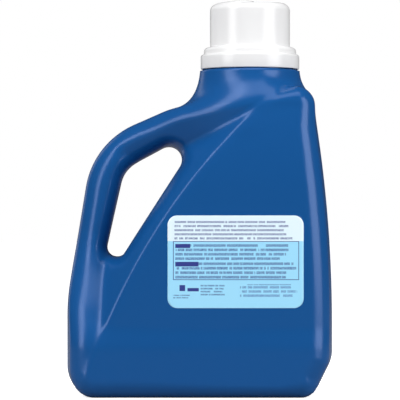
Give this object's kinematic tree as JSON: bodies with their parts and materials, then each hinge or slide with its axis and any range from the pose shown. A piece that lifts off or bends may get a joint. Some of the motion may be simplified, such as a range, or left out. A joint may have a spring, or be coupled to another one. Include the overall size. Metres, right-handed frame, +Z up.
{
  "type": "laundry detergent bottle",
  "caption": "Blue blow-moulded detergent bottle with an offset neck, a through side handle, a drain-back pour spout and a white lift-off measuring cap.",
  "frame": {"origin": "centre of the bottle's base, on the surface that it stands on", "axes": "+Z up along the neck, wide faces along Y with the shown face at -Y, handle at -X and straight side at +X"},
  "size_m": [0.1826, 0.1054, 0.2705],
  "materials": {
    "bottle_plastic": "satin blue blow-moulded polyethylene",
    "spout_plastic": "satin moulded polyethylene",
    "cap_plastic": "glossy white polypropylene",
    "label_film": "printed film"
  },
  "bodies": {
    "bottle_body": {"bottle": "bottle_plastic", "pour_spout": "spout_plastic", "back_label": "label_film", "front_label": "label_film"},
    "cap_body": {"cap": "cap_plastic"}
  },
  "joints": [
    {"name": "cap_lift", "type": "slide", "parent": "bottle_body", "child": "cap_body", "axis": [0, 0, 1], "range_m": [0, 0.06]}
  ]
}
